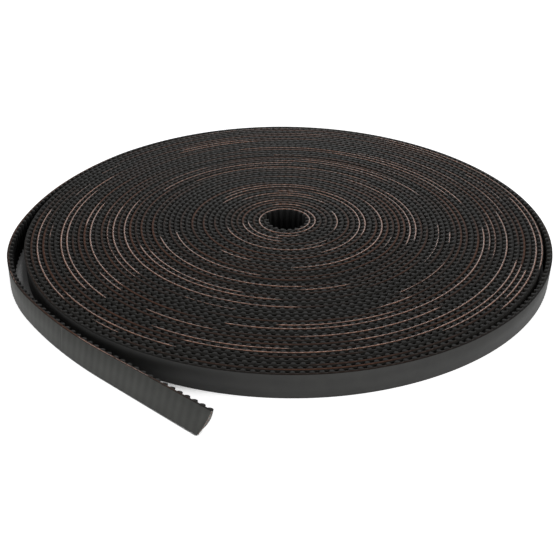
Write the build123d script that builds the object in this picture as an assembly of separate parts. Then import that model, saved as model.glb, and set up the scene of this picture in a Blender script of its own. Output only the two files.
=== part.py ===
from build123d import *
import os
from math import ceil, cos, floor, pi, radians, sin, sqrt

# Open-ended timing belt, wound on edge into a flat coil with its outer end lying free.
# Millimetres and degrees. The origin is on the axis of the coil's eye, at the face the
# coil rests on. +Z runs across the belt's width. Seen from above the belt winds
# outwards anticlockwise, with its teeth towards the eye and its smooth back outwards.
# Distances along the belt are measured on its cord line, from the place where the
# free tail leaves the coil: the coil is before 0 and the tail after it. Depth is
# measured from the cord line: the teeth are at plus, the smooth back at minus.

# ---- driving dimensions: the belt's section -------------------------------------
belt_width = 6.0
tooth_pitch = 2.0
backing_thickness = 0.63
tooth_height = 0.75
tooth_base_width = 1.30
tooth_tip_radius = 0.555
flat_tip_width = 0.64  # the tip of the plainer teeth on the long wound turns
cord_count = 7
cord_diameter = 0.26
cord_clearance = 0.02

# ---- driving dimensions: the coil -----------------------------------------------
eye_cord_radius = 5.51
turn_count = 42.9
winding_gap = 0.049  # mean gap between the teeth and the back of the turn inside them
leave_angle = 140.0
# Where the outermost turn stands off the one inside it: how far, how many degrees
# before the place where the tail leaves, and the degrees either side it takes.
outer_lifts = ((0.8, 162.0, 55.0), (0.25, 0.0, 60.0))
plain_relief = 0.10  # how much thinner the plain turns are than the toothed belt

# The turns aren't round: they lie in broad bulges where the coil was let go. Each bulge
# is how many lobes it has round the coil, how high they stand and where one of them
# peaks. One lobe moves a turn sideways, two make it oval. The first bulges grow all
# the way out to the outermost turn, the second are largest half way out.
outer_bulges = ((1, 0.92, 287.0), (2, 0.74, 19.0), (3, 0.29, 85.0), (4, 0.25, 6.0))
middle_bulges = ((1, 0.22, 230.0), (2, 0.51, 150.0))

# ---- driving dimensions: the tail -----------------------------------------------
peel_teeth = 6  # still carried by the coil, already leaving it
tail_teeth = (19, 19, 15, 15)
peel_radius = 86.0
tail_radii = (81.2, 52.0, 121.5, None)  # None is a straight stretch
end_cut_skew = 3.0  # how much longer the top edge is than the bottom edge
hinge_gap = 0.05

# ---- driving dimensions: how the strip is divided and faceted -------------------
group_count = 8
eye_turns = 0.9
stations_per_turn = 20
outer_stations_per_turn = 60
tail_tooth_flats = 4
tail_station_step = 2 * tooth_pitch
cord_sides = 6

# Where the slit edge of the wound turns lays a cord bare: the group of turns, counted
# from the eye turn as 0, how far through the group the cord comes out of the rubber,
# and the share of a turn that it then runs.
bare_cords = (
    (0, 0.50, 0.72),
    (1, 0.51, 0.50),
    (2, 0.68, 0.33),
    (3, 0.44, 0.25),
    (4, 0.57, 0.30),
    (5, 0.33, 0.21),
    (6, 0.99, 0.30),
    (8, 0.08, 0.25),
    (8, 0.73, 0.20),
)
tail_bare_cord_stretch = 2  # the third stretch of the tail has a bare cord too
tail_bare_cord_margin = 1.5

# ---- sizes that follow ----------------------------------------------------------
back = -backing_thickness / 2
web = backing_thickness / 2
tooth_tip = web + tooth_height
plain_depth = tooth_tip - plain_relief
turn_pitch = backing_thickness + tooth_height + winding_gap
first_length = 2 * pi * eye_cord_radius
growth = pi * turn_pitch
coil_length = first_length * turn_count + growth * turn_count**2
groove_half_width = cord_diameter / 2 + cord_clearance
cord_floor = belt_width - cord_diameter
groove_floor = cord_floor - cord_clearance
socket_radius = web + hinge_gap
socket_reach = sqrt(socket_radius**2 - web**2)
peel_length = peel_teeth * tooth_pitch
tail_lengths = [teeth * tooth_pitch for teeth in tail_teeth]
stretches = [(peel_length, peel_radius)] + list(zip(tail_lengths, tail_radii))
hinges = [peel_length + sum(tail_lengths[:i]) for i in range(len(tail_lengths))]
tail_end = peel_length + sum(tail_lengths)
tiny = 1e-6


# ---- the belt's path ------------------------------------------------------------
def turn_at(distance):
    """How many turns lie between the inner end and a place on the wound belt."""
    length = coil_length + distance
    return (sqrt(first_length**2 + 4 * growth * length) - first_length) / (2 * growth)


def distance_at(turn):
    return first_length * turn + growth * turn**2 - coil_length


def lift(turn):
    """The outermost turn stands off the one inside it over part of its way round."""
    before = 360 * (turn_count - turn)
    total = 0.0
    for height, place, reach in outer_lifts:
        if abs(before - place) < reach:
            total += height * cos(radians(90 * (before - place) / reach)) ** 2
    return total


def lobes(bulges, angle):
    return sum(height * cos(radians(count * (angle - peak))) for count, height, peak in bulges)


def coil_point(turn, depth):
    angle = leave_angle + 360 * (turn - turn_count)
    share = turn / turn_count
    radius = eye_cord_radius + turn_pitch * turn + lift(turn) - depth
    radius += share * lobes(outer_bulges, angle)
    radius += sin(pi * share) ** 2 * lobes(middle_bulges, angle)
    return radius * cos(radians(angle)), radius * sin(radians(angle))


def tail_frame(distance):
    """The point on the tail's cord line and the way the belt runs there."""
    x, y = coil_point(turn_count, 0)
    heading = radians(leave_angle + 90)
    left = distance
    for number, (length, radius) in enumerate(stretches):
        step = left if number == len(stretches) - 1 else min(left, length)
        if radius is None:
            x += step * cos(heading)
            y += step * sin(heading)
        else:
            turned = heading + step / radius
            x += radius * (sin(turned) - sin(heading))
            y += radius * (cos(heading) - cos(turned))
            heading = turned
        left -= step
        if left <= 0:
            break
    return x, y, heading


def tail_point(distance, depth, ahead=0.0):
    """A point at a depth, and straight ahead of a place on the tail."""
    x, y, heading = tail_frame(distance)
    x += ahead * cos(heading) - depth * sin(heading)
    y += ahead * sin(heading) + depth * cos(heading)
    return x, y


def belt_point(distance, depth):
    if distance <= 0:
        return coil_point(turn_at(distance), depth)
    return tail_point(distance, depth)


def coil_line(start, end, depth, per_turn):
    """Points at one depth from turn start to turn end, at evenly spread stations."""
    inner = []
    for steps_back in range(ceil(turn_count * per_turn), -1, -1):
        turn = turn_count - steps_back / per_turn
        if start + tiny < turn < end - tiny:
            inner.append(coil_point(turn, depth))
    return [chord_point(start, depth, per_turn)] + inner + [chord_point(end, depth, per_turn)]


def chord_point(turn, depth, per_turn):
    """A point on the flats that join the stations, so that cut ends stay on them."""
    place = (turn - turn_count) * per_turn
    whole = floor(place + tiny)
    before = turn_count + whole / per_turn
    share = place - whole
    x0, y0 = coil_point(before, depth)
    x1, y1 = coil_point(before + 1 / per_turn, depth)
    return x0 + share * (x1 - x0), y0 + share * (y1 - y0)


# ---- teeth ----------------------------------------------------------------------
def round_tooth():
    """One tooth as (along, depth) points: flank foot, round tip, flank foot."""
    tip_centre = tooth_tip - tooth_tip_radius
    points = [(-tooth_base_width / 2, web)]
    for i in range(tail_tooth_flats + 1):
        angle = pi - pi * i / tail_tooth_flats
        along = tooth_tip_radius * cos(angle)
        points.append((along, tip_centre + tooth_tip_radius * sin(angle)))
    points.append((tooth_base_width / 2, web))
    return points


def flat_tooth():
    """The same tooth with straight flanks and a flat tip, for the long wound turns."""
    foot = tooth_base_width / 2
    tip = flat_tip_width / 2
    return [(-foot, web), (-tip, tooth_tip), (tip, tooth_tip), (foot, web)]


def tooth_row(first_gap, last_gap, tooth):
    """Points of every tooth between two tooth gaps, along the belt."""
    points = []
    for number in range(round((last_gap - first_gap) / tooth_pitch)):
        middle = first_gap + (number + 0.5) * tooth_pitch
        points += [belt_point(middle + along, depth) for along, depth in tooth]
    return points


# ---- solids ---------------------------------------------------------------------
def upright(points, low=0.0, high=belt_width):
    """A closed outline raised from one height to another."""
    face = make_face(Polyline(*points, close=True))
    return Pos(0, 0, low) * extrude(face, high - low)


def coil_band(start, end, outer_depth, inner_depth, low=0.0):
    outside = coil_line(start, end, outer_depth, stations_per_turn)
    inside = coil_line(start, end, inner_depth, stations_per_turn)
    return upright(outside + inside[::-1], low)


def tail_band(start, end, half_width, low):
    """A strip along the tail's cord line, with a station at each step."""
    steps = ceil((end - start) / tail_station_step)
    places = [start + (end - start) * i / steps for i in range(steps + 1)]
    outside = [tail_point(place, -half_width) for place in places]
    inside = [tail_point(place, half_width) for place in places]
    return upright(outside + inside[::-1], low)


def eye_turn(join):
    """The innermost turn, with its teeth, from the belt's inner end."""
    inner_end = distance_at(0)
    teeth = floor((join - inner_end) / tooth_pitch)
    row = tooth_row(join - teeth * tooth_pitch, join, flat_tooth())
    line = coil_line(0, turn_at(join), back, stations_per_turn)
    start = coil_point(0, web)
    return upright(line + [coil_point(turn_at(join), web)] + row[::-1] + [start])


def socket(distance):
    """The hollow end of a stretch, which the next stretch's round end sits in."""
    horn_in = tail_point(distance, web, -socket_reach)
    bottom = tail_point(distance, 0, -socket_radius)
    horn_out = tail_point(distance, back, -socket_reach)
    return horn_in, ThreePointArc(horn_in, bottom, horn_out), horn_out


def knuckle(distance):
    """The round end of a stretch, centred in the middle of a tooth gap."""
    outside = tail_point(distance, back)
    tip = tail_point(distance, 0, back)
    inside = tail_point(distance, web)
    return outside, ThreePointArc(outside, tip, inside), inside


def outer_turn(join):
    """The outermost turn and the peel, with teeth, up to the first hinge."""
    horn_in, hollow, horn_out = socket(peel_length)
    row = tooth_row(join, peel_length, flat_tooth())
    line = coil_line(turn_at(join), turn_count, back, outer_stations_per_turn)
    line += [tail_point(place, back) for place in (peel_length / 3, 2 * peel_length / 3)]
    outline = [horn_out] + line[::-1] + [coil_point(turn_at(join), web)] + row + [horn_in]
    face = make_face([Polyline(*outline), hollow])
    return extrude(face, belt_width)


def tail_stretch(number):
    """One stretch of the free tail, with round teeth and a hinge knuckle."""
    start = hinges[number]
    end = start + tail_lengths[number]
    last = number == len(hinges) - 1
    outside, tip, inside = knuckle(start)
    beyond = end + tooth_pitch if last else end
    row = tooth_row(start, beyond, round_tooth())
    straight = tail_radii[number] is None
    steps = 1 if straight else ceil((beyond - start) / tail_station_step)
    places = [start + (beyond - start) * i / steps for i in range(1, steps)]
    line = [tail_point(place, back) for place in places][::-1]
    if last:
        ends = [tail_point(beyond, web), tail_point(beyond, back)]
        edges = [Polyline(inside, *row, *ends, *line, outside), tip]
    else:
        horn_in, hollow, horn_out = socket(end)
        edges = [Polyline(inside, *row, horn_in), hollow, Polyline(horn_out, *line, outside), tip]
    return extrude(make_face(edges), belt_width)


def cut_end(solid):
    """The knife cut at the free end, a little askew across the belt's width."""
    x, y, heading = tail_frame(tail_end)
    across = Vector(-sin(heading), cos(heading), 0)
    along = Vector(cos(heading) * end_cut_skew, sin(heading) * end_cut_skew, belt_width)
    plane = Plane(
        origin=(x, y, belt_width / 2), x_dir=across, z_dir=across.cross(along).normalized()
    )
    return split(solid, plane, keep=Keep.BOTTOM)


def tensile_cord(number, radius):
    """One of the cords side by side in the straight end of the tail."""
    start = hinges[-1] + tooth_pitch / 2
    x, y, heading = tail_frame(start)
    height = belt_width * (number + 0.5) / cord_count
    plane = Plane(
        origin=(x, y, height), x_dir=(0, 0, 1), z_dir=(cos(heading), sin(heading), 0)
    )
    length = tail_end + tooth_pitch - start
    return cut_end(extrude(plane * RegularPolygon(radius, cord_sides), length))


# ---- the nodes ------------------------------------------------------------------
def wound_turns(nodes):
    """The eye turn, the groups of plain turns and the outer turn, end to end."""
    outer_teeth = floor(-distance_at(turn_count - 1) / tooth_pitch)
    outer_join = -outer_teeth * tooth_pitch
    plain_turns = turn_at(outer_join) - eye_turns
    nodes["eye_turn"] = eye_turn(distance_at(eye_turns))
    spans = [("eye_turn", 0, eye_turns)]
    for number in range(group_count):
        start = eye_turns + plain_turns * number / group_count
        end = eye_turns + plain_turns * (number + 1) / group_count
        spans.append((f"wound_turns_{number + 1}", start, end))
        nodes[spans[-1][0]] = coil_band(start, end, back, plain_depth)
    nodes["outer_turn"] = outer_turn(outer_join)
    return spans


def lay_bare_cords(nodes, spans):
    """Each bare cord lies in its own groove in the upper edge of its group of turns."""
    half = cord_diameter / 2
    for number, (group, place, share) in enumerate(bare_cords):
        name, low, high = spans[group]
        start = low + place * (high - low - share)
        end = start + share
        nodes[name] -= coil_band(start, end, -groove_half_width, groove_half_width, groove_floor)
        nodes[f"bare_cord_{number + 1}"] = coil_band(start, end, -half, half, cord_floor)


def build():
    nodes = {}
    spans = wound_turns(nodes)
    lay_bare_cords(nodes, spans)
    for number in range(len(hinges)):
        nodes[f"tail_{number + 1}"] = tail_stretch(number)
    place = hinges[tail_bare_cord_stretch] + tail_bare_cord_margin
    end = hinges[tail_bare_cord_stretch + 1] - tail_bare_cord_margin
    stretch = f"tail_{tail_bare_cord_stretch + 1}"
    nodes[stretch] -= tail_band(place, end, groove_half_width, groove_floor)
    nodes["tail_bare_cord"] = tail_band(place, end, cord_diameter / 2, cord_floor)

    end_stretch = f"tail_{len(hinges)}"
    nodes[end_stretch] = cut_end(nodes[end_stretch])
    for number in range(cord_count):
        nodes[end_stretch] -= tensile_cord(number, cord_diameter / 2 + cord_clearance)
        nodes[f"tensile_cord_{number + 1}"] = tensile_cord(number, cord_diameter / 2)
    return nodes


os.makedirs("parts", exist_ok=True)
for node, solid in build().items():
    export_step(solid, f"parts/{node}.step")
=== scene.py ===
from math import cos, radians, sin

import bmesh
import bpy
import numpy as np
from mathutils import Matrix, Vector


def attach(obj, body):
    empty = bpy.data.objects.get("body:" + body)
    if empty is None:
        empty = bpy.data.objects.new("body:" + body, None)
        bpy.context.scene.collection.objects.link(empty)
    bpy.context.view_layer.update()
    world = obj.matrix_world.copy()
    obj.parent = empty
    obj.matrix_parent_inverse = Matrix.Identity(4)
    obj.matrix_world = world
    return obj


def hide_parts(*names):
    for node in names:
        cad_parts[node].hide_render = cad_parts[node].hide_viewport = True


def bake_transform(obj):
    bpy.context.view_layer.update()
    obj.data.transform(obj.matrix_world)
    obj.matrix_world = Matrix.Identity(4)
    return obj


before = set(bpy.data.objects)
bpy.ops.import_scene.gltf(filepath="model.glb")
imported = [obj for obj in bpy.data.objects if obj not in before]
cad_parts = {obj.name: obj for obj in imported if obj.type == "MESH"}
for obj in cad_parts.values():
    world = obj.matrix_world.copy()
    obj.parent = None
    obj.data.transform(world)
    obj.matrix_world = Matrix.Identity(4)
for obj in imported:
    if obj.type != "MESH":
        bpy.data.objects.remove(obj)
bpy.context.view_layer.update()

# An open-ended toothed belt, wound on edge into a flat coil. The path and the section
# are the CAD part's own, in millimetres, and become metres as each mesh is made. The lean
# of the tail, its skew cut and the small rises of the wound turns are only in this script.
# s is the distance along the belt's cord line: below 0 on the coil, above 0 on the tail.
# Depth is measured from the cord line: teeth at plus, smooth back at minus.

MM = 0.001
TAU = 2 * np.pi

# ---- the belt's section ---------------------------------------------------------
WIDTH = 6.0
PITCH = 2.0
BACKING = 0.63
TOOTH_HEIGHT = 0.75
TOOTH_FOOT = 0.65  # half a tooth's width where it meets the web
TOOTH_RADIUS = 0.555
BACK = -BACKING / 2
WEB = BACKING / 2
TOOTH_TIP = WEB + TOOTH_HEIGHT
EDGE_ROUND = 0.05
CORD_COUNT = 7

# ---- the coil and the tail, as in the CAD part ----------------------------------
EYE_RADIUS = 5.51
TURNS = 42.9
TURN_PITCH = BACKING + TOOTH_HEIGHT + 0.049
TOOTH_CLEARANCE = 0.006
LEAVE = 140.0  # the angle at which the tail leaves the coil
# How high the outermost turn stands off, how many degrees before its end, and how far round.
OUTER_LIFTS = [(0.8, 162.0, 55.0), (0.25, 0.0, 60.0)]
# How many lobes the coil's outline has, how high they are and at which angle one peaks.
OUTER_BULGES = [(1, 0.92, 287.0), (2, 0.74, 19.0), (3, 0.29, 85.0), (4, 0.25, 6.0)]
MIDDLE_BULGES = [(1, 0.22, 230.0), (2, 0.51, 150.0)]
EYE_TURNS = 0.9
GROUPS = 8
# The tail's arcs: the length and the radius of each. The last one is straight.
STRETCHES = [(12, 86.0), (38, 81.2), (38, 52.0), (30, 121.5), (30, None)]
HINGES = [12, 50, 88, 118]
TAIL_END = 148.0
CUT_AT = 146.7  # the cut in the photo is a little short of the CAD part's
CUT_SKEW = 2.2  # how much further it reaches at the top than at the bottom
CUT_BOW = 0.3  # how far the middle of the cut stands out of a straight one
CUT_LEVELS = (-0.85, -0.45, 0.0, 0.45, 0.85)  # its facets, from the bottom at -1 to the top at 1

FIRST_LENGTH = TAU * EYE_RADIUS
GROWTH = np.pi * TURN_PITCH
COIL_LENGTH = FIRST_LENGTH * TURNS + GROWTH * TURNS**2

# Where the mesh has its stations on each tooth, from one tooth gap to the next.
TOOTH_STATIONS = np.array([0.0, 0.35, 0.45, 0.53, 0.72, 1.0, 1.28, 1.47, 1.55, 1.65])


# ---- the path -------------------------------------------------------------------
def turn_at(s):
    """How many turns the belt has made by a distance along it."""
    return (np.sqrt(FIRST_LENGTH**2 + 4 * GROWTH * (COIL_LENGTH + s)) - FIRST_LENGTH) / (2 * GROWTH)


def distance_at(turn):
    return FIRST_LENGTH * turn + GROWTH * turn**2 - COIL_LENGTH


def turn_angle(turn):
    return LEAVE + 360 * (turn - TURNS)


def lift(turn):
    """The outermost turn stands off the one inside it over part of its way round."""
    before = 360 * (TURNS - turn)
    total = np.zeros_like(before)
    for height, place, reach in OUTER_LIFTS:
        wave = height * np.cos(np.radians(90 * (before - place) / reach)) ** 2
        total += np.where(np.abs(before - place) < reach, wave, 0.0)
    return total


def lobes(bulges, angle):
    return sum(high * np.cos(np.radians(count * (angle - peak))) for count, high, peak in bulges)


def turn_radius(turn):
    angle, share = turn_angle(turn), turn / TURNS
    bulge = share * lobes(OUTER_BULGES, angle)
    bulge += np.sin(np.pi * share) ** 2 * lobes(MIDDLE_BULGES, angle)
    return EYE_RADIUS + TURN_PITCH * turn + lift(turn) + bulge


def coil_xy(turn, depth):
    angle = np.radians(turn_angle(turn))
    radius = turn_radius(turn) - depth
    return radius * np.cos(angle), radius * np.sin(angle)


def room_inside(turn):
    """How deep a tooth may reach before it meets the back of the turn inside it."""
    spacing = turn_radius(turn) - turn_radius(turn - 1)
    return np.where(turn > 1, spacing + BACK - TOOTH_CLEARANCE, TOOTH_TIP)


def tail_xy(s, depth):
    """Points on the tail, arc after arc."""
    start_x, start_y = coil_xy(np.array(TURNS), 0.0)
    heading = radians(LEAVE + 90)
    x, y = np.zeros_like(s), np.zeros_like(s)
    way = np.zeros_like(s)
    begun = 0.0
    for number, (length, radius) in enumerate(STRETCHES):
        last = number == len(STRETCHES) - 1
        here = (s >= begun) & ((s <= begun + length) | last)
        step = s[here] - begun
        if radius is None:
            way[here] = heading
            x[here] = start_x + step * cos(heading)
            y[here] = start_y + step * sin(heading)
        else:
            turned = heading + step / radius
            way[here] = turned
            x[here] = start_x + radius * (np.sin(turned) - sin(heading))
            y[here] = start_y + radius * (cos(heading) - np.cos(turned))
            ahead = heading + length / radius
            start_x += radius * (sin(ahead) - sin(heading))
            start_y += radius * (cos(heading) - cos(ahead))
            heading = ahead
        begun += length
    return x - depth * np.sin(way), y + depth * np.cos(way)


def belt_xy(s, depth):
    """Points of the belt seen from above, on the coil or on the tail."""
    s, depth = np.broadcast_arrays(np.asarray(s, float), np.asarray(depth, float))
    turn = turn_at(np.minimum(s, 0.0))
    x, y = coil_xy(turn, depth)
    tail_x, tail_y = tail_xy(np.maximum(s, 0.0), depth)
    return np.where(s <= 0, x, tail_x), np.where(s <= 0, y, tail_y)


def smooth_noise(position, seed, waves=5, slowest=1.0, fastest=6.0):
    """A smooth seeded wave between about -1 and 1."""
    rng = np.random.default_rng(seed)
    total = np.zeros_like(position)
    for rate in np.geomspace(slowest, fastest, waves):
        total += np.sin(TAU * (rate * position * rng.uniform(0.8, 1.2) + rng.uniform()))
    return total / waves


# ---- heights and depths on the belt ---------------------------------------------
LEAN, LEAN_START = 22.0, 66.0  # degrees at the free end, and where the lean begins
STAND, RISE = -0.02, 0.07  # how high a wound turn stands at least, and how much more it may
RISE_SEED = 3
LEVEL_TURNS, LEVEL_FADE = 0.8, 0.5  # how many of the last turns lie level, and how soon they do
# Turns that lie lower than the rest: the middle, how far it reaches, how far it sinks.
SUNK_TURNS = [
    (20.9, 0.75, 0.17),
    (18.3, 0.55, 0.16),
    (25.6, 0.6, 0.15),
    (16.3, 0.5, 0.12),
    (9.6, 0.5, 0.12),
]
COIL_RIBS, TAIL_RIBS = 0.004, 0.014  # how high the ribs stand, and how much more on the tail
RIBS_FROM, RIBS_GROW = 30, 80  # where they begin to rise, and over how far


def rise(s):
    """How far the belt's lower edge is off the floor."""
    turn = turn_at(np.minimum(s, 0.0))
    wave = 0.5 + 0.5 * smooth_noise(turn, seed=RISE_SEED, waves=6, slowest=0.11, fastest=1.7)
    total = (STAND + RISE * wave) * np.clip((TURNS - LEVEL_TURNS - turn) / LEVEL_FADE, 0, 1)
    for middle, reach, depth in SUNK_TURNS:
        dip = depth * np.cos(np.radians(90 * (turn - middle) / reach)) ** 2
        total -= np.where(np.abs(turn - middle) < reach, dip, 0.0)
    return total


def tooth_depth(s):
    """The inner side: flat in the gaps, round on the teeth, pressed by the next turn."""
    along = np.abs(np.mod(s, PITCH) - PITCH / 2)
    tip_centre = TOOTH_TIP - TOOTH_RADIUS
    dome = tip_centre + np.sqrt(np.maximum(TOOTH_RADIUS**2 - along**2, 0))
    flank = WEB + (tip_centre - WEB) * (TOOTH_FOOT - along) / (TOOTH_FOOT - TOOTH_RADIUS)
    depth = np.where(along < TOOTH_RADIUS, dome, np.maximum(flank, WEB))
    turn = turn_at(np.minimum(s, 0.0))
    return np.where(s < 0, np.minimum(depth, room_inside(turn)), depth)


def leant(s, depth, height):
    """The free end of the tail leans towards the coil, over its inner lower edge."""
    angle = np.radians(LEAN) * np.clip((s - LEAN_START) / (TAIL_END - LEAN_START), 0, 1)
    out = depth - TOOTH_TIP
    moved = TOOTH_TIP + out * np.cos(angle) + height * np.sin(angle)
    return moved, height * np.cos(angle) - out * np.sin(angle)


def back_depth(s):
    """The smooth back shows each tooth behind it as a faint rib."""
    ribs = COIL_RIBS + TAIL_RIBS * np.clip((s - RIBS_FROM) / RIBS_GROW, 0, 1)
    return BACK + ribs * (1 - np.cos(TAU * s / PITCH)) / 2


# ---- meshes ---------------------------------------------------------------------
def mesh_object(name, points, quads, material_of_quad, uvs, materials):
    """A mesh of quads, given in millimetres and made in metres."""
    mesh = bpy.data.meshes.new(name)
    mesh.vertices.add(len(points))
    mesh.vertices.foreach_set("co", (points * MM).astype(np.float32).ravel())
    mesh.loops.add(quads.size)
    mesh.loops.foreach_set("vertex_index", quads.astype(np.int32).ravel())
    mesh.polygons.add(len(quads))
    mesh.polygons.foreach_set("loop_start", np.arange(0, quads.size, 4, dtype=np.int32))
    mesh.polygons.foreach_set("material_index", material_of_quad.astype(np.int32))
    layer = mesh.uv_layers.new(name="belt")
    layer.data.foreach_set("uv", (uvs * MM).astype(np.float32).ravel())
    for material in materials:
        mesh.materials.append(material)
    mesh.update(calc_edges=True)
    mesh.validate()
    obj = bpy.data.objects.new(name, mesh)
    bpy.context.scene.collection.objects.link(obj)
    return obj


def skin_object(name, rings, s, around, side_kinds, end_faces, end_kind, materials):
    """A closed skin over rings of points, with a map of the distance and how far round."""
    count, size = rings.shape[:2]
    grid = np.arange(count * size).reshape(count, size)
    near, far = grid[:-1], grid[1:]
    quads = np.stack([near, far, np.roll(far, -1, axis=1), np.roll(near, -1, axis=1)], axis=-1)
    ends = [grid[0][list(face)] for face in end_faces]
    ends += [grid[-1][list(face[::-1])] for face in end_faces]
    kinds = np.broadcast_to(side_kinds, (count - 1, size))
    uv = np.stack(np.broadcast_arrays(s[:, None], around), axis=-1)
    corner_uv = np.stack([uv[:-1, :-1], uv[1:, :-1], uv[1:, 1:], uv[:-1, 1:]], axis=2)
    return mesh_object(
        name,
        rings.reshape(-1, 3),
        np.concatenate([quads.reshape(-1, 4), np.array(ends)]),
        np.concatenate([kinds.reshape(-1), np.full(len(ends), end_kind)]),
        np.concatenate([corner_uv.reshape(-1, 2), np.zeros((4 * len(ends), 2))]),
        materials,
    )


SMOOTH_BACK, SLIT_EDGE, TOOTH_SIDE, KNIFE_CUT = range(4)
# The sides of the section, from the lower back edge round, and the quads that close its ends.
SIDE_KINDS = np.array([SMOOTH_BACK, SLIT_EDGE, SLIT_EDGE, SLIT_EDGE, TOOTH_SIDE, SLIT_EDGE])
STRIP_ENDS = ((0, 1, 4, 5), (1, 2, 3, 4))
SLIT_MIDDLE = 6.29  # how far round the section the upper cord line is, from the lower back edge
LEAST_STEP = 0.02  # no station lies nearer than this to the end of a piece


def strip(name, first, last, materials, end_kind=SMOOTH_BACK):
    """The toothed belt from one distance to another."""
    gaps = np.arange(np.floor(first / PITCH) * PITCH, last, PITCH)
    s = (gaps[:, None] + TOOTH_STATIONS[None, :]).ravel()
    s = np.concatenate([[first], s[(s > first + LEAST_STEP) & (s < last - LEAST_STEP)], [last]])
    low = rise(s)
    high = low + WIDTH
    outer, inner = back_depth(s), tooth_depth(s)
    corners = [
        (outer, low),
        (outer, high - EDGE_ROUND),
        (outer + EDGE_ROUND, high),
        (inner - EDGE_ROUND, high),
        (inner, high - EDGE_ROUND),
        (inner, low),
    ]
    rings = np.zeros((len(s), len(corners), 3))
    for k, (depth, z) in enumerate(corners):
        depth, z = leant(s, depth, z)
        x, y = belt_xy(s, depth)
        rings[:, k] = np.stack([x, y, z], axis=-1)
    steps = np.linalg.norm(np.diff(np.concatenate([rings, rings[:, :1]], axis=1), axis=1), axis=-1)
    around = np.concatenate([np.zeros((len(s), 1)), np.cumsum(steps, axis=1)], axis=1)
    return skin_object(name, rings, s, around, SIDE_KINDS, STRIP_ENDS, end_kind, materials)


STRANDS = 3
STRAND_TWIST = 1.6  # the cord's strands go once round in this many millimetres
STRAND_LOBE = 0.10  # how far each strand stands out, as a share of the cord's radius
TUBE_SIDES = 8
TUBE_KINDS = np.zeros(TUBE_SIDES, int)
TUBE_ENDS = ((0, 1, 2, 3), (0, 3, 4, 7), (4, 5, 6, 7))


def twisted_tube(name, s, depth, height, radius, material):
    """A twisted cord along the belt, at a depth and a height that may change on the way."""
    turn = np.linspace(0, TAU, TUBE_SIDES, endpoint=False)
    twist = TAU * s / STRAND_TWIST
    lobed = radius * (1 + STRAND_LOBE * np.cos(STRANDS * (turn[None, :] + twist[:, None])))
    deep = depth + lobed * np.cos(turn)[None, :]
    z = np.broadcast_to(height, s.shape)[:, None] + lobed * np.sin(turn)[None, :]
    places = np.broadcast_to(s[:, None], deep.shape)
    deep, z = leant(places, deep, z)
    x, y = belt_xy(places, deep)
    rings = np.stack([x, y, z], axis=-1)
    girth = np.linspace(0, TAU * radius, TUBE_SIDES + 1)
    around = np.broadcast_to(girth, (len(s), TUBE_SIDES + 1))
    return skin_object(name, rings, s, around, TUBE_KINDS, TUBE_ENDS, 0, [material])


CORD_WIDTH = 0.42
CORD_STEP = 0.4
# How far a bare cord stands out of the slit edge, its ends apart: on the coil, there where
# it is faint, and on the tail.
CORD_PROUD, FAINT_PROUD, TAIL_PROUD = 0.09, 0.05, 0.06
END_SINK = 0.20  # how much deeper a bare cord lies at its ends
END_FADE, END_SHARE = 6.0, 0.3  # over this length of it, and at most over this share
WANDER, WANDER_LENGTH = 0.05, 40  # how much its height wanders, and over what length
WANDER_SEEDS = 997  # how many different ways of wandering there are


def cord_strand(name, first, last, material, proud=CORD_PROUD, depth=0.0):
    """A stretch of cord that comes out of the slit edge and sinks back in."""
    s = np.linspace(first, last, max(int((last - first) / CORD_STEP), 4))
    fade = min(END_FADE, END_SHARE * (last - first))
    ends = np.clip(np.minimum(s - first, last - s) / fade, 0, 1)
    seed = int(abs(first)) % WANDER_SEEDS
    wander = 0.5 + 0.5 * smooth_noise(s / WANDER_LENGTH, seed=seed, waves=4)
    sunk = (1 - ends) * END_SINK + WANDER * wander
    height = rise(s) + WIDTH - CORD_WIDTH / 2 + proud - sunk
    return twisted_tube(name, s, depth, height, CORD_WIDTH / 2, material)


# ---- materials ------------------------------------------------------------------
def node_material(name):
    material = bpy.data.materials.new(name)
    material.use_nodes = True
    tree = material.node_tree
    return material, tree, tree.nodes["Principled BSDF"]


def belt_place(tree):
    """A point's place in the belt's own map: along the belt and round its section."""
    place = tree.nodes.new("ShaderNodeUVMap")
    place.uv_map = "belt"
    parts = tree.nodes.new("ShaderNodeSeparateXYZ")
    tree.links.new(place.outputs["UV"], parts.inputs["Vector"])
    return parts.outputs["X"], parts.outputs["Y"]


def math_step(tree, operation, value, amount=0.0, added=0.0):
    """A value worked on with up to two numbers."""
    step = tree.nodes.new("ShaderNodeMath")
    step.operation = operation
    step.inputs[1].default_value = amount
    step.inputs[2].default_value = added
    tree.links.new(value, step.inputs[0])
    return step.outputs[0]


def joined(tree, operation, first, second):
    """Two values worked into one."""
    step = tree.nodes.new("ShaderNodeMath")
    step.operation = operation
    tree.links.new(first, step.inputs[0])
    tree.links.new(second, step.inputs[1])
    return step.outputs[0]


def mapped(tree, value, source, target):
    """One span of values mapped on to another, and held at its ends."""
    span = tree.nodes.new("ShaderNodeMapRange")
    for end, number in zip(("From Min", "From Max", "To Min", "To Max"), (*source, *target)):
        span.inputs[end].default_value = number
    tree.links.new(value, span.inputs["Value"])
    return span.outputs[0]


def noise(tree, place, scale, detail, roughness=0.5):
    """Noise over a place, which is a position or, for noise along a line, one number."""
    node = tree.nodes.new("ShaderNodeTexNoise")
    on_line = place.type == "VALUE"
    node.noise_dimensions = "1D" if on_line else "3D"
    node.inputs["Scale"].default_value = scale
    node.inputs["Detail"].default_value = detail
    node.inputs["Roughness"].default_value = roughness
    tree.links.new(place, node.inputs["W" if on_line else "Vector"])
    return node.outputs["Fac"]


def two_tones(tree, value, tones, span):
    """The first tone up to the start of the span, the second from its end, blended between."""
    ramp = tree.nodes.new("ShaderNodeValToRGB")
    for element, tone, place in zip(ramp.color_ramp.elements, tones, span):
        element.position = place
        element.color = (*tone, 1)
    tree.links.new(value, ramp.inputs["Fac"])
    return ramp.outputs["Color"]


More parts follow.
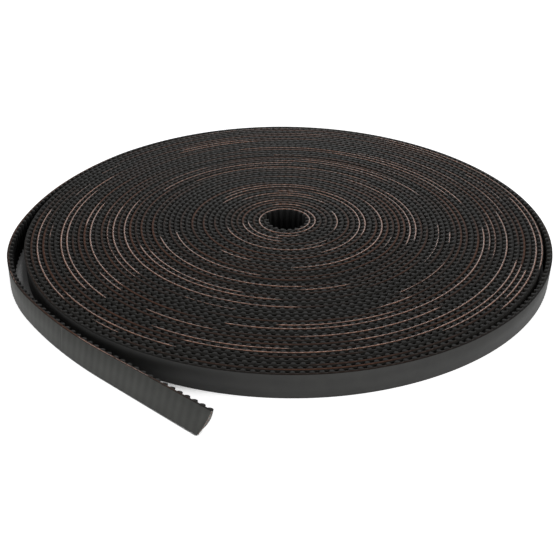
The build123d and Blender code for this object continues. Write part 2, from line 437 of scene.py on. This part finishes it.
def bumpy(tree, shader, place, scale, strength, height):
    """A fine grain on the surface, with its height in millimetres."""
    bumps = tree.nodes.new("ShaderNodeBump")
    bumps.inputs["Strength"].default_value = strength
    bumps.inputs["Distance"].default_value = height * MM
    tree.links.new(noise(tree, place, scale, detail=3.0), bumps.inputs["Height"])
    tree.links.new(bumps.outputs["Normal"], shader.inputs["Normal"])


def finished(material, shader, roughness, specular):
    """The material, with its shine set."""
    shader.inputs["Roughness"].default_value = roughness
    shader.inputs["Specular IOR Level"].default_value = specular
    return material


def painted_rib_shade(tree, strength):
    """1 plus a wave along the belt, with one crest at each tooth: painted shade on the back's ribs,
    darker in their hollows.
    """
    along, _ = belt_place(tree)
    phase = math_step(tree, "MULTIPLY", along, TAU / (PITCH * MM))
    return math_step(tree, "MULTIPLY_ADD", math_step(tree, "COSINE", phase), strength, 1.0)


TAIL_SHADOW_TO, TAIL_SHADOW_END = -295.0, -250.0  # along the outermost turn: the painted shadow of the tail is full up to the first, and gone from the second


def painted_tail_shadow(tree, shade):
    """A smaller number where the tail's shadow is painted on the outermost turn's back, then 1."""
    along, _ = belt_place(tree)
    return mapped(tree, along, (TAIL_SHADOW_TO * MM, TAIL_SHADOW_END * MM), (shade, 1.0))


MOTTLE_SPAN = (0.35, 0.68)  # the values of the noise between which the tone changes


def rubber(name, tones, roughness, specular, mottle, bump, ribs=0.0, tail_shadow_shade=0.0):
    """Moulded rubber: mottled and finely grained, with painted shade along its ribs or with the
    tail's shadow painted on a stretch.
    """
    material, tree, shader = node_material(name)
    place = tree.nodes.new("ShaderNodeTexCoord").outputs["Object"]
    patches = noise(tree, place, mottle, detail=6.0, roughness=0.6)
    colour = tree.nodes.new("ShaderNodeVectorMath")
    colour.operation = "SCALE"
    tree.links.new(two_tones(tree, patches, tones, MOTTLE_SPAN), colour.inputs[0])
    colour.inputs["Scale"].default_value = 1.0
    # painted shade along the ribs of the back
    if ribs:
        tree.links.new(painted_rib_shade(tree, ribs), colour.inputs["Scale"])
    # the tail's shadow, painted on the outermost turn's back
    if tail_shadow_shade:
        tree.links.new(painted_tail_shadow(tree, tail_shadow_shade), colour.inputs["Scale"])
    tree.links.new(colour.outputs[0], shader.inputs["Base Color"])
    bumpy(tree, shader, place, scale=9000.0, strength=bump, height=0.04)
    return finished(material, shader, roughness, specular)


CORD_LINE, CORD_HALO = 0.12, 0.30  # how far off the cord line its colour is full, and is gone
STREAKS_PER_METRE = 14.0
STREAK_SPAN = (0.47, 0.65)


def slit_edge(name, dark, light, cord):
    """The edge the belt was slit along: paler over the cord, with copper showing in it."""
    material, tree, shader = node_material(name)
    along, around = belt_place(tree)
    off = math_step(tree, "SUBTRACT", around, SLIT_MIDDLE * MM)
    aside = math_step(tree, "ABSOLUTE", off)
    near = mapped(tree, aside, (CORD_LINE * MM, CORD_HALO * MM), (1.0, 0.0))
    streaks = noise(tree, along, STREAKS_PER_METRE, detail=5.0)
    mix = tree.nodes.new("ShaderNodeMix")
    mix.data_type = "RGBA"
    factor, colour_a, colour_b = mix.inputs[0], mix.inputs[6], mix.inputs[7]
    colour_a.default_value = (*dark, 1)
    tree.links.new(two_tones(tree, streaks, (light, cord), STREAK_SPAN), colour_b)
    tree.links.new(near, factor)
    tree.links.new(mix.outputs[2], shader.inputs["Base Color"])
    place = tree.nodes.new("ShaderNodeTexCoord").outputs["Object"]
    bumpy(tree, shader, place, scale=4000.0, strength=0.5, height=0.05)
    return finished(material, shader, roughness=0.8, specular=0.115)


COPPER_TONES = ((0.112, 0.050, 0.031), (0.290, 0.133, 0.080))
COPPER_SPAN = (0.33, 0.66)


def copper_cord():
    """Copper-coloured glass cord, darker in patches."""
    material, tree, shader = node_material("copper_cord")
    place = tree.nodes.new("ShaderNodeTexCoord").outputs["Object"]
    patches = noise(tree, place, scale=700.0, detail=5.0)
    tree.links.new(two_tones(tree, patches, COPPER_TONES, COPPER_SPAN), shader.inputs["Base Color"])
    return finished(material, shader, roughness=0.55, specular=0.4)


# The outermost turn's back, with the tail's shadow painted on its stretch under the tail.
back_rubber = rubber(
    "smooth_back",
    tones=((0.024, 0.024, 0.023), (0.034, 0.034, 0.032)),
    roughness=0.62,
    specular=0.3,
    mottle=260.0,
    bump=0.25,
    tail_shadow_shade=0.55,
)
# The tail's back, lighter in tone than the outermost turn's back: painted light, for the light the
# tail catches.
tail_back = rubber(
    "tail_back",
    tones=((0.031, 0.032, 0.029), (0.042, 0.043, 0.039)),
    roughness=0.62,
    specular=0.3,
    mottle=260.0,
    bump=0.25,
    # painted shade along the ribs
    ribs=0.15,
)
tooth_rubber = rubber(
    "tooth_side",
    tones=((0.007, 0.007, 0.007), (0.012, 0.012, 0.012)),
    roughness=0.8,
    specular=0.12,
    mottle=700.0,
    bump=0.3,
)
cut_rubber = rubber(
    "knife_cut",
    tones=((0.05, 0.05, 0.048), (0.30, 0.29, 0.27)),
    roughness=0.7,
    specular=0.3,
    mottle=1800.0,
    bump=0.6,
)
wound_edge = slit_edge(
    "slit_edge",
    dark=(0.0042, 0.0039, 0.0034),
    light=(0.0074, 0.0067, 0.0057),
    cord=(0.075, 0.031, 0.017),
)
# The outermost turn's slit edge, darker than the wound turns' and with little copper: painted shade
# along the outer row.
shaded_outer_edge = slit_edge(
    "shaded_outer_edge",
    dark=(0.0037, 0.0035, 0.0031),
    light=(0.0067, 0.0063, 0.0056),
    cord=(0.020, 0.011, 0.007),
)
gap_rubber = rubber(
    "tooth_gap",
    tones=((0.022, 0.021, 0.019), (0.034, 0.032, 0.029)),
    roughness=0.8,
    specular=0.1,
    mottle=700.0,
    bump=0.3,
)
# One material for each kind of side, in the order of the kinds.
EYE_MATERIALS = [gap_rubber, wound_edge, tooth_rubber, cut_rubber]
WOUND_MATERIALS = [gap_rubber, wound_edge, gap_rubber, cut_rubber]
OUTER_MATERIALS = [back_rubber, shaded_outer_edge, gap_rubber, cut_rubber]
TAIL_MATERIALS = [tail_back, wound_edge, tooth_rubber, cut_rubber]
cord_material = copper_cord()


# ---- the wound coil -------------------------------------------------------------
outer_teeth = np.floor(-distance_at(TURNS - 1) / PITCH)
outer_join = -outer_teeth * PITCH
plain_turns = turn_at(outer_join) - EYE_TURNS


def group_bounds():
    """Where each CAD group of turns begins and ends, moved to the nearest tooth gap."""
    ends = [distance_at(EYE_TURNS + plain_turns * k / GROUPS) for k in range(GROUPS + 1)]
    return [PITCH * round(end / PITCH) for end in ends]


def on_coil(piece, node):
    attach(piece, "coil")
    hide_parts(node)


cuts = group_bounds()
on_coil(strip("belt_eye_turn", distance_at(0.0), cuts[0], EYE_MATERIALS, KNIFE_CUT), "eye_turn")
for number in range(GROUPS):
    piece = strip(f"belt_turns_{number + 1}", cuts[number], cuts[number + 1], WOUND_MATERIALS)
    on_coil(piece, f"wound_turns_{number + 1}")
PEEL_CUT = 4.0
on_coil(strip("belt_outer_turn", cuts[-1], PEEL_CUT, OUTER_MATERIALS), "outer_turn")

# ---- the free tail --------------------------------------------------------------
# Each piece crosses one hinge. It is cut in the middle of a stretch.
TAIL_CUTS = [PEEL_CUT, 32.0, 70.0, 104.0, TAIL_END]
LAST_HINGE = len(HINGES) - 1
# How far before and after each hinge bend_at finds a spot on the cord line.
BEND_BEFORE = [0.0, 8.0, 8.0, 6.0]
BEND_AFTER = [14.0, 8.0, 8.0, 6.0]


def spot(s):
    """The point on the cord line at mid width, in metres."""
    x, y = belt_xy(np.array([float(s)]), np.array([0.0]))
    return Vector((float(x[0]), float(y[0]), WIDTH / 2)) * MM


def bend_at(piece, hinge):
    start = spot(HINGES[hinge] - BEND_BEFORE[hinge])
    end = spot(HINGES[hinge] + BEND_AFTER[hinge])
    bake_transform(piece)


def cut_reach(level):
    """How far the bowed, skew cut reaches at a level from -1 at the bottom to 1 on top."""
    return CUT_AT + CUT_SKEW / 2 * level + CUT_BOW * (1 - level**2)


def knife_cut(piece):
    """Cuts the end across, askew and a little bowed, facet after facet, and closes it."""
    ahead = (spot(TAIL_END) - spot(TAIL_END - 1)).normalized()
    work = bmesh.new()
    work.from_mesh(piece.data)
    for level in CUT_LEVELS:
        slope = (CUT_SKEW / 2 - 2 * CUT_BOW * level) / (WIDTH / 2)
        place = spot(cut_reach(level)) + Vector((0, 0, level * WIDTH / 2)) * MM
        geometry = work.verts[:] + work.edges[:] + work.faces[:]
        cut = bmesh.ops.bisect_plane(
            work,
            geom=geometry,
            plane_co=place,
            plane_no=Vector((ahead.x, ahead.y, -slope)).normalized(),
            clear_outer=True,
        )
        rim = [item for item in cut["geom_cut"] if isinstance(item, bmesh.types.BMEdge)]
        closed = bmesh.ops.holes_fill(work, edges=rim)
        for face in closed["faces"]:
            face.material_index = KNIFE_CUT
    work.to_mesh(piece.data)
    work.free()


for number in range(len(HINGES)):
    last = number == LAST_HINGE
    end = TAIL_CUTS[number + 1] + PITCH * last  # the last piece is made long and then cut
    piece = strip(f"belt_tail_{number + 1}", TAIL_CUTS[number], end, TAIL_MATERIALS)
    if last:
        knife_cut(piece)
    bend_at(piece, number)
    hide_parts(f"tail_{number + 1}")

# ---- bare cord ------------------------------------------------------------------
# The turn, counted where the tail leaves the coil, and the two angles in degrees
# between which its cord lies bare: first where it stands out, then where it is faint.
BARE_ARCS = [
    (0, 250, 800), (3, 160, 290), (9, 285, 440), (13, 262, 400), (19, 190, 285),
    (23, 195, 275), (31, 250, 362), (37, 244, 345), (40, 316, 378), (2, 235, 310),
    (2, 405, 490), (4, 170, 285), (4, 445, 510), (6, 385, 485), (5, 318, 402),
    (7, 180, 320), (7, 405, 512), (8, 428, 468), (10, 325, 515), (11, 415, 508),
    (9, 478, 520), (12, 215, 258), (16, 185, 268), (27, 165, 225), (20, 268, 303),
    (19, 335, 400), (20, 398, 505), (22, 440, 520), (24, 378, 450), (18, 330, 425),
    (22, 200, 262), (23, 395, 460), (25, 160, 280), (28, 292, 313), (29, 375, 440),
    (30, 368, 472), (30, 262, 305), (31, 165, 226), (32, 165, 190), (32, 207, 228),
    (33, 230, 258), (33, 268, 315), (34, 455, 492), (35, 458, 490), (35, 158, 228),
    (35, 280, 370), (36, 148, 222), (36, 236, 275), (38, 300, 343), (39, 212, 252),
    (40, 172, 222), (39, 319, 341), (41, 335, 428), (40, 396, 424),
]
FAINT_ARCS = [
    (3, 390, 455), (6, 270, 335), (10, 258, 290), (15, 322, 352), (15, 438, 465),
    (19, 430, 470), (21, 428, 480), (23, 320, 366), (24, 478, 512), (25, 340, 358),
    (26, 300, 338), (26, 436, 462), (27, 232, 262), (27, 390, 418), (28, 175, 226),
    (29, 164, 184), (33, 335, 372), (31, 400, 430), (32, 338, 366), (34, 380, 418),
    (36, 360, 400), (38, 155, 172), (38, 180, 194), (38, 368, 395), (38, 435, 450),
    (39, 142, 156), (40, 224, 240), (41, 440, 478),
]
CAD_BARE_CORDS = 9  # the first so many stand for the CAD part's bare cords
EARLIEST_TURN = 0.02  # a bare cord begins a little after the belt's inner end


def row_turn(row, angle):
    """Rows are counted so that the last whole one ends where the tail leaves."""
    return row + (TURNS - np.floor(TURNS)) - 1 + (angle - LEAVE) / 360


for number, (row, start, end) in enumerate(BARE_ARCS + FAINT_ARCS):
    first = distance_at(max(row_turn(row, start), EARLIEST_TURN))
    last = distance_at(min(row_turn(row, end), TURNS))
    proud = CORD_PROUD if number < len(BARE_ARCS) else FAINT_PROUD
    piece = cord_strand(f"bare_strand_{number + 1}", first, last, cord_material, proud)
    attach(piece, "coil")
    if number < CAD_BARE_CORDS:
        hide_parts(f"bare_cord_{number + 1}")


TAIL_CORD_DEPTH = -0.08  # the tail's bare cord lies a little towards the back


def tail_strand(name, first, last, hinge):
    piece = cord_strand(name, first, last, cord_material, TAIL_PROUD, TAIL_CORD_DEPTH)
    bend_at(piece, hinge)
    return piece


tail_strand("tail_strand_1", 72.0, 84.0, LAST_HINGE - 1)
piece = tail_strand("tail_strand_2", 104.0, 136.0, LAST_HINGE)
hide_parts("tail_bare_cord")

# The seven tensile cords end in the cut, and stand out of it by a hair.
CORD_START = 119.0
CORD_STANDS_OUT = 0.05
CORD_END_WIDTH = 0.28
CORD_END_STATIONS = 60
for number in range(CORD_COUNT):
    level = WIDTH * (number + 0.5) / CORD_COUNT
    _, leant_level = leant(TAIL_END, 0.0, level)
    end = cut_reach(2 * leant_level / WIDTH - 1) + CORD_STANDS_OUT
    stations = np.linspace(CORD_START, end, CORD_END_STATIONS)
    name = f"cord_end_{number + 1}"
    piece = twisted_tube(name, stations, 0.0, level, CORD_END_WIDTH / 2, cord_material)
    bend_at(piece, LAST_HINGE)
    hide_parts(f"tensile_cord_{number + 1}")


# ---- stage ----------------------------------------------------------------------
# Lengths on the stage are in metres where nothing else is said.
FLOOR_SIZE = 3.0  # from the middle to each side
FLOOR_DROP = 0.02  # how far below the belt the floor lies, in millimetres
FLOOR_WHITE, FLOOR_SHADE = 0.85, 0.40  # the floor's colour in the open, and its painted shade where it is shut in
FLOOR_GLOW = 0.85  # how strongly it glows where it is seen directly
SLOT_REACH = 15.0 * MM  # walls further off than this shut nothing in
SKY_SAMPLES = 16
SHUT_IN, OPEN = 0.35, 0.48  # how much of the sky the floor sees in a slot and beside one wall
WHITE = (1, 1, 1, 1)
SKY_STRENGTH = 0.20  # how strongly the sky lights things; it is 1 where the sky itself is seen
UNIT_SPAN = (0.0, 1.0)


def seen_directly(tree):
    """1 for rays that show the background itself, in a mirror or through glass."""
    path = tree.nodes.new("ShaderNodeLightPath")
    total = path.outputs["Is Camera Ray"]
    for ray in ("Is Glossy Ray", "Is Transmission Ray"):
        total = joined(tree, "MAXIMUM", total, path.outputs[ray])
    return total


def openness(tree):
    """0 where the belt shuts the floor in on both sides, 1 beside one wall and in the open."""
    sky = tree.nodes.new("ShaderNodeAmbientOcclusion")
    sky.samples = SKY_SAMPLES
    sky.inputs["Distance"].default_value = SLOT_REACH
    return mapped(tree, sky.outputs["AO"], (SHUT_IN, OPEN), UNIT_SPAN)


def floor_material():
    """White, with a glow where it is seen directly, and painted shade where the belt shuts it in:
    grey and without the glow.
    """
    material = bpy.data.materials.new("white_floor")
    material.use_nodes = True
    tree = material.node_tree
    tree.nodes.clear()
    open_floor = openness(tree)
    diffuse = tree.nodes.new("ShaderNodeBsdfDiffuse")
    tone = mapped(tree, open_floor, UNIT_SPAN, (FLOOR_SHADE, FLOOR_WHITE))
    tree.links.new(tone, diffuse.inputs["Color"])
    glow = tree.nodes.new("ShaderNodeEmission")
    glow.inputs["Color"].default_value = WHITE
    seen_open = joined(tree, "MULTIPLY", seen_directly(tree), open_floor)
    tree.links.new(math_step(tree, "MULTIPLY", seen_open, FLOOR_GLOW), glow.inputs["Strength"])
    both = tree.nodes.new("ShaderNodeAddShader")
    tree.links.new(diffuse.outputs[0], both.inputs[0])
    tree.links.new(glow.outputs[0], both.inputs[1])
    output = tree.nodes.new("ShaderNodeOutputMaterial")
    tree.links.new(both.outputs[0], output.inputs["Surface"])
    return material


def white_floor():
    mesh = bpy.data.meshes.new("floor")
    corners = [(x * FLOOR_SIZE, y * FLOOR_SIZE, 0) for x, y in ((-1, -1), (1, -1), (1, 1), (-1, 1))]
    mesh.from_pydata(corners, [], [(0, 1, 2, 3)])
    mesh.materials.append(floor_material())
    floor = bpy.data.objects.new("floor", mesh)
    bpy.context.scene.collection.objects.link(floor)
    floor.location.z = -FLOOR_DROP * MM


def world_light():
    world = bpy.data.worlds.new("studio")
    bpy.context.scene.world = world
    world.use_nodes = True
    tree = world.node_tree
    background = tree.nodes["Background"]
    background.inputs["Color"].default_value = WHITE
    lit = mapped(tree, seen_directly(tree), UNIT_SPAN, (SKY_STRENGTH, 1.0))
    tree.links.new(lit, background.inputs["Strength"])


# Each lamp's name, its place and its power in watts. All of them point at the eye.
LAMP_SIZE = 0.5
LAMPS = [
    ("front_right", (0.45, -0.60, 0.17), 2.3),
    ("front_left", (-0.45, -0.60, 0.15), 2.3),
    ("behind", (0.05, 0.80, 0.28), 4.6),
]


def area_light(name, place, power):
    data = bpy.data.lights.new(name, "AREA")
    data.shape = "DISK"
    data.size = LAMP_SIZE
    data.energy = power
    lamp = bpy.data.objects.new(name, data)
    bpy.context.scene.collection.objects.link(lamp)
    lamp.location = place
    aim = -Vector(place)
    lamp.rotation_euler = aim.to_track_quat("-Z", "Y").to_euler()


# The camera that was fitted to the photo: its lens, its place, and how it is turned.
SENSOR_WIDTH, LENS = 36.0, 56.59
NEAREST = 0.01
CAMERA_PLACE = (-1.355, -206.386, 114.098)  # in millimetres
CAMERA_DOWN, CAMERA_ROLL = 31.541, 0.731  # degrees below level, and degrees about its own axis


def camera():
    data = bpy.data.cameras.new("camera")
    data.sensor_width = SENSOR_WIDTH
    data.lens = LENS
    data.clip_start = NEAREST
    view = bpy.data.objects.new("camera", data)
    bpy.context.scene.collection.objects.link(view)
    down = radians(CAMERA_DOWN)
    roll = radians(CAMERA_ROLL)
    level = Vector((1, 0, 0))
    ahead = Vector((0, cos(down), -sin(down)))
    above = Vector((0, sin(down), cos(down)))
    right = level * cos(roll) + above * sin(roll)
    up = above * cos(roll) - level * sin(roll)
    turn = Matrix((right, up, -ahead)).transposed()
    view.matrix_world = Matrix.Translation(Vector(CAMERA_PLACE) * MM) @ turn.to_4x4()
    bpy.context.scene.camera = view


white_floor()
world_light()
for name, place, power in LAMPS:
    area_light(name, place, power)
camera()
bpy.context.scene.view_settings.view_transform = "Standard"
